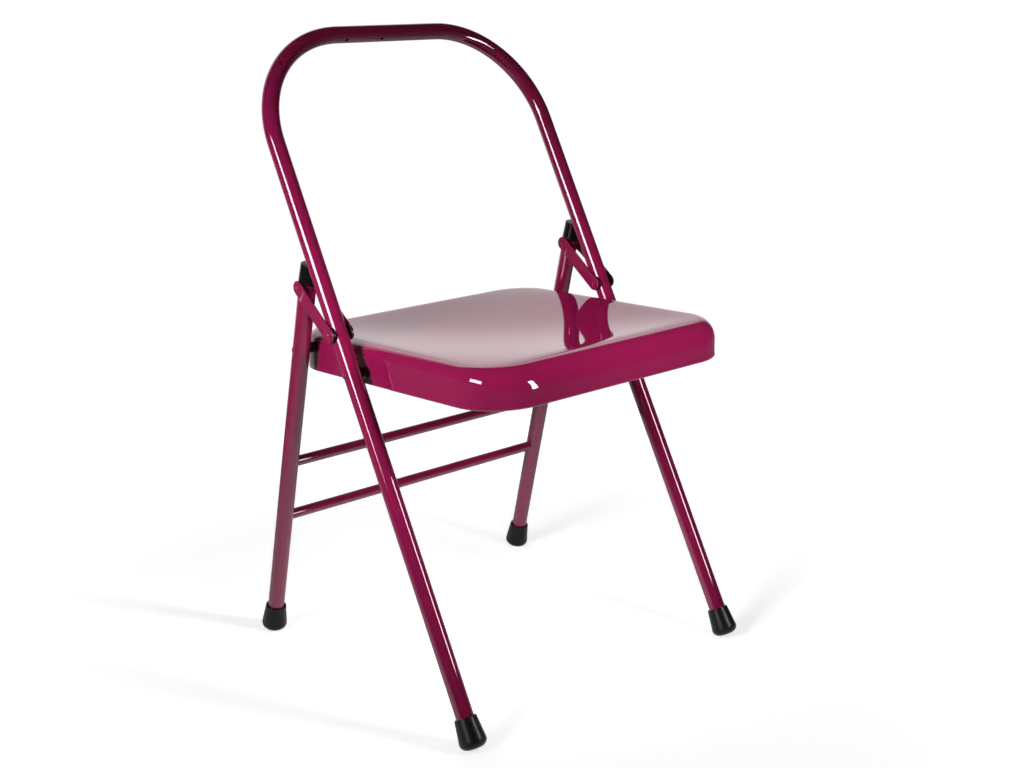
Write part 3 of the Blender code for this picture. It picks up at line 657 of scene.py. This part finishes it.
def press_inset(v, w, nx):
    """How far the pressed flat sinks the skirt at each place of the side."""
    edge_w = [point[1] * MM for point in PRESS_BORDER]
    edge_v = [point[0] * MM for point in PRESS_BORDER]
    border = np.interp(w, edge_w, edge_v)
    behind = smooth_step(0.0, PRESS_SLOPE, v - border)
    below = 1.0 - smooth_step(*PRESS_TOP, w)
    side = smooth_step(*PRESS_FACING, np.abs(nx))
    return PRESS_DEPTH * behind * below * side


def dish_middle():
    return (SEAT_BACK_REACH - SEAT_BACK_ROLL - SEAT_FRONT_REACH + SEAT_FRONT_ROLL) / 2


def dish_height(x, v):
    """Height of the dished top, which leaves the rim gently and is deepest in its middle."""
    across = x / (SEAT_HALF_WIDTH - SEAT_SIDE_ROLL)
    along = (v - dish_middle()) / (SEAT_BACK_REACH - SEAT_BACK_ROLL - dish_middle())
    bowl = (1 - across**2) * (1 - along**2)
    bowl = bowl**2 * (1 + SEAT_DISH_EASE) / (bowl + SEAT_DISH_EASE)
    return rim_height(v) - SEAT_DISH * bowl


def seat_rings():
    """Rings over the pan's outer face, from the hem's lip over skirt and roll to the middle of the dish."""
    x, v, nx, nv = seat_outline().T
    bottom = -SEAT_HEM_BELOW_PIVOT
    rings = []

    def ring(inset, height):
        height = np.broadcast_to(height, v.shape)
        inset = inset + press_inset(v, height, nx)
        rings.append(np.stack([x - nx * inset, v - nv * inset, height], axis=1))

    ring(HEM_RADIUS + HEM_LIP, bottom)
    corner = (HEM_RADIUS, HEM_RADIUS)
    for inset, rise in arc(corner, corner, -math.pi / 2, -math.pi, HEM_STEPS):
        ring(inset, bottom + rise)
    ring(HEM_BEAD * HEM_BEAD_START, bottom + HEM_BEAD_HEIGHT - HEM_BEAD_BELOW)
    ring(HEM_BEAD, bottom + HEM_BEAD_HEIGHT)
    radius = roll_radius(nx, nv)
    start = rim_height(v) - radius
    foot = bottom + HEM_BEAD_HEIGHT + HEM_BEAD_ABOVE
    for step in range(SKIRT_STEPS):
        share = step / SKIRT_STEPS
        ring(HEM_BEAD * (1 - share), foot + (start - foot) * share)
    for step in range(ROLL_STEPS + 1):
        bend = math.pi / 2 * step / ROLL_STEPS
        ring(radius * (1 - math.cos(bend)), rim_height(v) - radius * (1 - math.sin(bend)))
    rim = rings[-1]
    middle = dish_middle()
    for step in range(1, DISH_STEPS):
        share = step / DISH_STEPS
        inner = rim.copy()
        inner[:, 0] = rim[:, 0] * (1 - share)
        inner[:, 1] = middle + (rim[:, 1] - middle) * (1 - share)
        inner[:, 2] = dish_height(inner[:, 0], inner[:, 1])
        rings.append(inner)
    return rings


def seat_pan_mesh():
    """The pan's outer face alone."""
    bm = bmesh.new()
    loops = [[bm.verts.new(point) for point in ring] for ring in seat_rings()]
    for lower, upper in zip(loops, loops[1:]):
        join_rings(bm, lower, upper)
    middle = dish_middle()
    hub = bm.verts.new((0.0, middle, dish_height(0.0, middle)))
    last = loops[-1]
    for here, there in zip(last, last[1:] + last[:1]):
        bm.faces.new((here, there, hub))
    mesh = bpy.data.meshes.new("seat_pan")
    bm.to_mesh(mesh)
    bm.free()
    return mesh


def as_sheet(face_mesh):
    """The mesh of a sheet whose outer face is given."""
    holder = bpy.data.objects.new("sheet", face_mesh)
    bpy.context.scene.collection.objects.link(holder)
    sheet = holder.modifiers.new("sheet", "SOLIDIFY")
    sheet.thickness = SEAT_SHEET
    sheet.offset = -1.0
    sheet.use_even_offset = True
    settle(holder)
    mesh = holder.data
    bpy.data.objects.remove(holder, do_unlink=True)
    return mesh


def add_seat(paint):
    mesh = as_sheet(seat_pan_mesh())
    cutters = []
    for side in SIDES.values():
        cutters += [hole_through(side, pivot) for pivot in (SEAT_FRONT_PIVOT, SEAT_REAR_PIVOT)]
    add_piece("seat_pan", mesh, seat_frame(), paint, "seat", cutters)
    for name, side in SIDES.items():
        node = f"{name}_seat_rear_rivet_tail"
        low = SEAT_HALF_WIDTH - SEAT_SHEET - REAR_TAIL_STANDOFF
        high = SEAT_HALF_WIDTH - REAR_TAIL_SUNK
        add_rivet(node, side, SEAT_REAR_PIVOT, low, high, paint, "seat", head="none")


# Links


def link_frame(side):
    """Matrix at a link's foot: Y along the link to its top, Z outwards from the chair's middle plane."""
    run = Vector((0.0, *(LINK_TOP_PIVOT.yz - LINK_FOOT_PIVOT.yz))).normalized()
    outward = Vector((side, 0.0, 0.0))
    turn = Matrix((run.cross(outward), run, outward)).transposed().to_4x4()
    return Matrix.Translation((0.0, LINK_FOOT_PIVOT.y, LINK_FOOT_PIVOT.z)) @ turn


def link_outline(shrink):
    """A link's outline from the left of its foot, round the foot, up, round the top and down."""
    half = LINK_WIDTH / 2 - shrink
    foot = arc((0.0, 0.0), (half, half), math.pi, 2 * math.pi, LINK_END_STEPS)
    top = arc((0.0, LINK_LENGTH), (half, half), 0.0, math.pi, LINK_END_STEPS)
    rises = divided(0.0, LINK_LENGTH, LINK_STEP)[1:-1]
    return foot + [(half, y) for y in rises] + top + [(-half, y) for y in reversed(rises)]


def link_levels():
    """(inset, rise) of each outline from the bottom face up the softened side to the top face."""
    edge = LINK_EDGE
    turns = np.linspace(0, math.pi / 2, EDGE_STEPS + 1)
    lower = [(edge * (1 - math.sin(turn)), edge * (1 - math.cos(turn))) for turn in turns]
    upper = [(inset, LINK_THICKNESS - rise) for inset, rise in reversed(lower)]
    return lower + upper


def close_link_face(bm, loop):
    """Fills a link's outline with quads between its long sides and one face at each round end."""
    ends = LINK_END_STEPS + 1
    straight = (len(loop) - 2 * ends) // 2
    foot_arc = loop[:ends]
    right_side = loop[ends:ends + straight]
    top_arc = loop[ends + straight:2 * ends + straight]
    left_side = loop[2 * ends + straight:][::-1]
    right_run = [foot_arc[-1]] + right_side + [top_arc[0]]
    left_run = [foot_arc[0]] + left_side + [top_arc[-1]]
    for index in range(len(right_run) - 1):
        quad = (left_run[index], right_run[index], right_run[index + 1], left_run[index + 1])
        bm.faces.new(quad)
    bm.faces.new(foot_arc)
    bm.faces.new(top_arc)


def link_plate_mesh(name, at_foot, at_top):
    """A flat bar with round ends and softened edges, jogged near its top."""
    jog_top = LINK_LENGTH - LINK_JOG_FROM_TOP
    jog_foot = jog_top - LINK_JOG_LENGTH

    def base(y):
        return at_foot + (at_top - at_foot) * float(smooth_step(jog_foot, jog_top, y))

    bm = bmesh.new()
    loops = []
    for inset, rise in link_levels():
        loops.append([bm.verts.new((x, y, base(y) + rise)) for x, y in link_outline(inset)])
    for below, above in zip(loops, loops[1:]):
        join_rings(bm, below, above)
    close_link_face(bm, loops[0])
    close_link_face(bm, loops[-1])
    return mesh_from(name, bm)


def add_links(name, side, paint):
    foot, top = LINK_FOOT_PIVOT.x, LINK_TOP_PIVOT.x
    off_foot = TUBE_RADIUS + LINK_GAP_AT_FOOT
    off_top = TUBE_RADIUS + LINK_GAP_AT_TOP
    plates = {
        "outer": (foot + off_foot, top + off_top),
        "inner": (foot - off_foot - LINK_THICKNESS, top - off_top - LINK_THICKNESS),
    }
    for place, (at_foot, at_top) in plates.items():
        node = f"{name}_{place}_link"
        mesh = link_plate_mesh(node, at_foot, at_top)
        cutters = [hole_through(side, pivot) for pivot in (LINK_FOOT_PIVOT, LINK_TOP_PIVOT)]
        add_piece(node, mesh, link_frame(side), paint, f"{name}_links", cutters)


# Rear frame


def plug_mesh(name):
    """A plug with a stem in the tube, a soft shoulder over the tube's rim and a taper to a flat top."""
    stem = TUBE_RADIUS - TUBE_WALL - FIT_GAP
    rounding = PLUG_TOP_ROUNDING
    shoulder = TUBE_RADIUS + PLUG_SHOULDER
    corner = (PLUG_TOP_RADIUS - rounding, PLUG_HEIGHT - rounding)
    profile = [(0.0, -PLUG_STEM_LENGTH), (stem, -PLUG_STEM_LENGTH), (stem, FIT_GAP)]
    low = FIT_GAP + PLUG_EDGE
    edge = (PLUG_EDGE, PLUG_EDGE)
    profile += arc((shoulder - PLUG_EDGE, low), edge, -math.pi / 2, 0.0, EDGE_STEPS)
    profile += tapered((shoulder, low), (PLUG_TOP_RADIUS, corner[1]), PLUG_STEP)
    profile += arc(corner, (rounding, rounding), 0.0, math.pi / 2, PLUG_TOP_STEPS)
    profile.append((0.0, PLUG_HEIGHT))
    return turned(name, profile)


def add_rear_leg(name, side, paint, rubber, plastic):
    leg = rear_leg(side)
    top = LINK_PIVOT_ON_REAR + TUBE_ABOVE_LINK_PIVOT
    heights = rings_near(tube_end(REAR_LEAN), top, (SEAT_PIVOT_ON_REAR, LINK_PIVOT_ON_REAR))
    mesh = pipe(f"{name}_rear_leg", TUBE_RADIUS, TUBE_RADIUS - TUBE_WALL, heights)
    cutters = [hole_through(side, pivot) for pivot in (SEAT_REAR_PIVOT, LINK_TOP_PIVOT)]
    add_piece(f"{name}_rear_leg", mesh, leg, paint, "rear_frame", cutters)

    cap = f"{name}_rear_foot_cap"
    add_piece(cap, foot_cap_mesh(cap, leg, REAR_LEAN), leg, rubber, "rear_frame")

    plug = f"{name}_rear_leg_plug"
    place = leg @ Matrix.Translation((0.0, 0.0, top))
    front_tube = cutter_rod(TUBE_RADIUS + FIT_GAP, *PLUG_CUT_SPAN, front_leg(side), ROUND_SIDES)
    cutters = [front_tube, hole_through(side, LINK_TOP_PIVOT)]
    add_piece(plug, plug_mesh(plug), place, plastic, "rear_frame", cutters)

    pivot = SEAT_REAR_PIVOT
    rivet = f"{name}_seat_rear_rivet"
    low, high = SEAT_HALF_WIDTH + FIT_GAP, pivot.x + TUBE_RADIUS
    add_rivet(rivet, side, pivot, low, high, paint, "rear_frame", tail=False)
    spacer = f"{name}_seat_rear_spacer"
    low, high = SEAT_HALF_WIDTH - PRESS_DEPTH, pivot.x - TUBE_RADIUS
    add_spacer(spacer, side, pivot, SEAT_SPACER_RADIUS, low, high, plastic, "rear_frame")

    pivot = LINK_TOP_PIVOT
    rivet = f"{name}_link_top_rivet"
    reach = TUBE_RADIUS + LINK_GAP_AT_TOP + LINK_THICKNESS + RIVET_SEAT_GAP
    add_rivet(rivet, side, pivot, pivot.x - reach, pivot.x + reach, paint, "rear_frame", head="flange")


def add_stretcher(node, height, paint):
    place = up_leg(rear_leg(1), height)
    half = place.x
    heights = divided(-half, half, TUBE_STEP)
    mesh = pipe(node, STRETCHER_RADIUS, STRETCHER_RADIUS - STRETCHER_WALL, heights)
    cutters = [
        cutter_rod(TUBE_RADIUS + TUBE_CLEARANCE, *STRETCHER_CUT_SPAN, rear_leg(side), ROUND_SIDES)
        for side in SIDES.values()
    ]
    add_piece(node, mesh, crosswise(1, place), paint, "rear_frame", cutters)


# Materials


def new_material(name, slot):
    material = bpy.data.materials.new(name)
    material.use_nodes = True
    material["record_slot"] = slot
    return material, material.node_tree.nodes, material.node_tree.links


def add_node(nodes, kind, **settings):
    node = nodes.new(kind)
    for key, value in settings.items():
        setattr(node, key, value)
    return node


def noise(material, scale, detail):
    """A noise in the piece's own coordinates."""
    nodes, links = material.node_tree.nodes, material.node_tree.links
    coords = add_node(nodes, "ShaderNodeTexCoord")
    texture = add_node(nodes, "ShaderNodeTexNoise")
    texture.inputs["Scale"].default_value = scale
    texture.inputs["Detail"].default_value = detail
    links.new(coords.outputs["Object"], texture.inputs["Vector"])
    return texture.outputs["Fac"]


def mottled_colour(material, scale, dark, light):
    """Drives a material's colour with a fine noise between two near shades."""
    nodes, links = material.node_tree.nodes, material.node_tree.links
    ramp = add_node(nodes, "ShaderNodeValToRGB")
    for element, place, shade in zip(ramp.color_ramp.elements, NOISE_SPAN, (dark, light)):
        element.position = place
        element.color = (*shade, 1.0)
    links.new(noise(material, scale, SHADE_DETAIL), ramp.inputs["Fac"])
    links.new(ramp.outputs["Color"], nodes["Principled BSDF"].inputs["Base Color"])


def noise_value(material, scale, low, high):
    """A node output that wanders between two values over the surface."""
    nodes, links = material.node_tree.nodes, material.node_tree.links
    spread = add_node(nodes, "ShaderNodeMapRange")
    spread.inputs["From Min"].default_value = NOISE_SPAN[0]
    spread.inputs["From Max"].default_value = NOISE_SPAN[1]
    spread.inputs["To Min"].default_value = low
    spread.inputs["To Max"].default_value = high
    links.new(noise(material, scale, SURFACE_DETAIL), spread.inputs["Value"])
    return spread.outputs["Result"]


def relief(material, scale, depth, sockets):
    """A fine bump of this depth in metres on the named normals."""
    nodes, links = material.node_tree.nodes, material.node_tree.links
    bump = add_node(nodes, "ShaderNodeBump")
    bump.inputs["Strength"].default_value = 1.0
    bump.inputs["Distance"].default_value = depth
    links.new(noise_value(material, scale, 0.0, 1.0), bump.inputs["Height"])
    for socket in sockets:
        links.new(bump.outputs["Normal"], nodes["Principled BSDF"].inputs[socket])


def finished(name, slot, finish, normals=("Normal",)):
    """A material with a finish's shades, roughness and relief."""
    material, nodes, links = new_material(name, slot)
    shader = nodes["Principled BSDF"]
    shader.inputs["Specular IOR Level"].default_value = finish["specular"]
    mottled_colour(material, finish["shade_scale"], *finish["shades"])
    roughness = noise_value(material, finish["roughness_scale"], *finish["roughness"])
    links.new(roughness, shader.inputs["Roughness"])
    relief(material, finish["relief_scale"], finish["relief"], normals)
    return material


def paint_material():
    """Glossy baked paint: a plum coat under a clear skin with a trace of orange peel."""
    material = finished("plum_paint_gloss", "paint", PAINT, ("Normal", "Coat Normal"))
    shader = material.node_tree.nodes["Principled BSDF"]
    shader.inputs["Coat Weight"].default_value = 1.0
    shader.inputs["Coat Roughness"].default_value = COAT_ROUGHNESS
    shader.inputs["Coat IOR"].default_value = COAT_IOR
    return material


def rubber_material():
    """Moulded rubber: near black, dull, with a fine grain."""
    return finished("black_rubber_moulded", "rubber", RUBBER)


def plastic_material():
    """Satin moulded plastic: black, smoother than the rubber."""
    return finished("black_plastic_moulded", "plastic", PLASTIC)


# Studio and camera


def add_camera():
    data = bpy.data.cameras.new("photo_camera")
    data.sensor_width = CAMERA_SENSOR
    data.lens = CAMERA_LENS
    camera = bpy.data.objects.new("photo_camera", data)
    forward = Vector(CAMERA_FORWARD).normalized()
    right = Vector(CAMERA_RIGHT).normalized()
    up = right.cross(forward)
    turn = Matrix((right, up, -forward)).transposed().to_4x4()
    camera.matrix_world = Matrix.Translation(CAMERA_PLACE) @ turn
    bpy.context.scene.collection.objects.link(camera)
    bpy.context.scene.camera = camera


def add_lamp(name, place, aim, width, height, radiance, spread):
    """A rectangular lamp that the camera doesn't see, just as bright for any spread."""
    data = bpy.data.lights.new(name, "AREA")
    data.shape = "RECTANGLE"
    data.size = width
    data.size_y = height
    data.energy = radiance * width * height * math.pi
    if spread < OPEN:
        data.spread = spread
        data.energy *= 1 - spread / 2 / math.tan(spread / 2)
    lamp = bpy.data.objects.new(name, data)
    away = (Vector(place) - Vector(aim)).normalized()
    lamp.matrix_world = Matrix.Translation(place) @ away.to_track_quat("Z", "Y").to_matrix().to_4x4()
    lamp.visible_camera = False
    bpy.context.scene.collection.objects.link(lamp)
    return lamp


def add_lamps():
    for name, settings in LIGHTING.items():
        add_lamp(name, *settings).visible_glossy = False
    for name, settings in GLOSS.items():
        add_lamp(name, *settings).visible_diffuse = False


def math_node(nodes, links, operation, first, second):
    """Adds a Math node and returns its output. Each operand is a number or an output."""
    node = add_node(nodes, "ShaderNodeMath", operation=operation)
    for index, value in enumerate((first, second)):
        if isinstance(value, (int, float)):
            node.inputs[index].default_value = value
        else:
            links.new(value, node.inputs[index])
    return node.outputs["Value"]


def ease(nodes, links, value, start, end):
    """Runs smoothly from 0 at start to 1 at end, also where start is the higher."""
    node = add_node(nodes, "ShaderNodeMapRange", interpolation_type="SMOOTHSTEP")
    low, high = min(start, end), max(start, end)
    node.inputs["From Min"].default_value = low
    node.inputs["From Max"].default_value = high
    node.inputs["To Min"].default_value = 0.0 if start < end else 1.0
    node.inputs["To Max"].default_value = 1.0 if start < end else 0.0
    links.new(value, node.inputs["Value"])
    return node.outputs["Result"]


def between(nodes, links, share, low, high):
    """Runs from low to high as the share runs from 0 to 1."""
    rise = math_node(nodes, links, "MULTIPLY", share, high - low)
    return math_node(nodes, links, "ADD", rise, low)


def mirror_ray(nodes, links, path):
    """1 for a ray that comes from a reflection or through a clear body, else 0."""
    glossy, clear = path.outputs["Is Glossy Ray"], path.outputs["Is Transmission Ray"]
    return math_node(nodes, links, "MAXIMUM", glossy, clear)


def floor_colour_with_painted_shade(nodes, links, away):
    """The floor's colour: pale round the chair, and darkened further out as painted shade where the lamps'
    light falls off.
    """
    tint = add_node(nodes, "ShaderNodeMix", data_type="RGBA")
    links.new(away, tint.inputs["Factor"])
    tint.inputs["A"].default_value = FLOOR_COLOUR
    tint.inputs["B"].default_value = [FLOOR_PAINTED_SHADE_SHARE * part for part in FLOOR_COLOUR[:3]] + [1.0]
    return tint.outputs["Result"]


def floor_gleam(nodes, links, position, reach, away):
    """What reflections see on the floor: a trace near the chair, and the backdrop's white behind it."""
    behind = add_node(nodes, "ShaderNodeVectorMath", operation="DOT_PRODUCT")
    links.new(position, behind.inputs[0])
    behind.inputs[1].default_value = BACKDROP_WAY
    facing = math_node(nodes, links, "DIVIDE", behind.outputs["Value"], reach)
    across = ease(nodes, links, facing, *BACKDROP_SPREAD)
    gleam = ease(nodes, links, behind.outputs["Value"], *FLOOR_GLEAM_REACH)
    gleam = math_node(nodes, links, "MULTIPLY", gleam, across)
    gleam = between(nodes, links, gleam, 0.0, FLOOR_GLEAM_BEHIND)
    close = between(nodes, links, away, FLOOR_GLEAM_NEAR, FLOOR_GLEAM_FAR)
    return math_node(nodes, links, "ADD", gleam, close)


def floor_material():
    """A matt pale floor that catches the shadow. What it adds for the eye and for reflections is white."""
    material = bpy.data.materials.new("studio_floor")
    material.use_nodes = True
    nodes, links = material.node_tree.nodes, material.node_tree.links
    shader = nodes["Principled BSDF"]
    shader.inputs["Roughness"].default_value = 1.0
    shader.inputs["Specular IOR Level"].default_value = 0.0
    position = add_node(nodes, "ShaderNodeNewGeometry").outputs["Position"]
    distance = add_node(nodes, "ShaderNodeVectorMath", operation="LENGTH")
    links.new(position, distance.inputs[0])
    reach = distance.outputs["Value"]
    # Painted shade: the floor's colour darkens with distance from the chair, standing in for the lamps'
    # light falling off
    away = ease(nodes, links, reach, *FLOOR_PAINTED_SHADE_SPAN)
    links.new(floor_colour_with_painted_shade(nodes, links, away), shader.inputs["Base Color"])
    glow = ease(nodes, links, reach, *FLOOR_GLOW_REACH)
    glow = between(nodes, links, glow, *FLOOR_GLOW)
    gleam = floor_gleam(nodes, links, position, reach, away)
    path = add_node(nodes, "ShaderNodeLightPath")
    seen = math_node(nodes, links, "MULTIPLY", path.outputs["Is Camera Ray"], glow)
    mirrored = math_node(nodes, links, "MULTIPLY", mirror_ray(nodes, links, path), gleam)
    emission = add_node(nodes, "ShaderNodeEmission")
    links.new(math_node(nodes, links, "ADD", seen, mirrored), emission.inputs["Strength"])
    both = add_node(nodes, "ShaderNodeAddShader")
    links.new(shader.outputs["BSDF"], both.inputs[0])
    links.new(emission.outputs["Emission"], both.inputs[1])
    links.new(both.outputs["Shader"], nodes["Material Output"].inputs["Surface"])
    return material


def add_floor():
    mesh = bpy.data.meshes.new("studio_floor")
    reach = FLOOR_REACH
    corners = [(-reach, -reach, 0.0), (reach, -reach, 0.0), (reach, reach, 0.0), (-reach, reach, 0.0)]
    mesh.from_pydata(corners, [], [(0, 1, 2, 3)])
    mesh.materials.append(floor_material())
    floor = bpy.data.objects.new("studio_floor", mesh)
    bpy.context.scene.collection.objects.link(floor)


def backdrop_light(nodes, links, way):
    """Brightness of the backdrop in a direction: brighter in its upper part and close to the floor."""
    facing = add_node(nodes, "ShaderNodeVectorMath", operation="DOT_PRODUCT")
    links.new(way, facing.inputs[0])
    facing.inputs[1].default_value = BACKDROP_WAY
    parts = add_node(nodes, "ShaderNodeSeparateXYZ")
    links.new(way, parts.inputs["Vector"])
    height = parts.outputs["Z"]
    band = ease(nodes, links, height, *BACKDROP_BAND)
    low = ease(nodes, links, height, *BACKDROP_LOW)
    light = between(nodes, links, band, BACKDROP_LIGHT, BACKDROP_LIGHT + BACKDROP_BAND_LIGHT)
    light = math_node(nodes, links, "ADD", light, between(nodes, links, low, 0.0, BACKDROP_LOW_LIGHT))
    across = ease(nodes, links, facing.outputs["Value"], *BACKDROP_SPREAD)
    light = math_node(nodes, links, "MULTIPLY", light, across)
    below_top = ease(nodes, links, height, *BACKDROP_TOP)
    return math_node(nodes, links, "MULTIPLY", light, below_top)


def set_world():
    """White for the eye. What lights the chair is a dim room with a white backdrop behind the chair."""
    world = bpy.data.worlds.new("studio")
    bpy.context.scene.world = world
    world.use_nodes = True
    nodes, links = world.node_tree.nodes, world.node_tree.links
    way = add_node(nodes, "ShaderNodeTexCoord").outputs["Generated"]
    path = add_node(nodes, "ShaderNodeLightPath")
    room = between(nodes, links, mirror_ray(nodes, links, path), ROOM_LIGHT, ROOM_REFLECTED)
    light = math_node(nodes, links, "ADD", backdrop_light(nodes, links, way), room)
    seen = path.outputs["Is Camera Ray"]
    unseen = math_node(nodes, links, "SUBTRACT", 1.0, seen)
    light = math_node(nodes, links, "MULTIPLY", light, unseen)
    background = nodes["Background"]
    background.inputs["Color"].default_value = (1.0, 1.0, 1.0, 1.0)
    links.new(math_node(nodes, links, "ADD", light, seen), background.inputs["Strength"])


def build():
    paint = paint_material()
    rubber = rubber_material()
    plastic = plastic_material()
    add_front_frame(paint, rubber, plastic)
    add_seat(paint)
    for name, side in SIDES.items():
        add_links(name, side, paint)
        add_rear_leg(name, side, paint, rubber, plastic)
    add_stretcher("upper_stretcher", UPPER_STRETCHER_HEIGHT, paint)
    add_stretcher("lower_stretcher", LOWER_STRETCHER_HEIGHT, paint)

    add_floor()
    set_world()
    add_lamps()
    add_camera()
    bpy.context.scene.view_settings.view_transform = "Standard"


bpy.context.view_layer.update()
build()
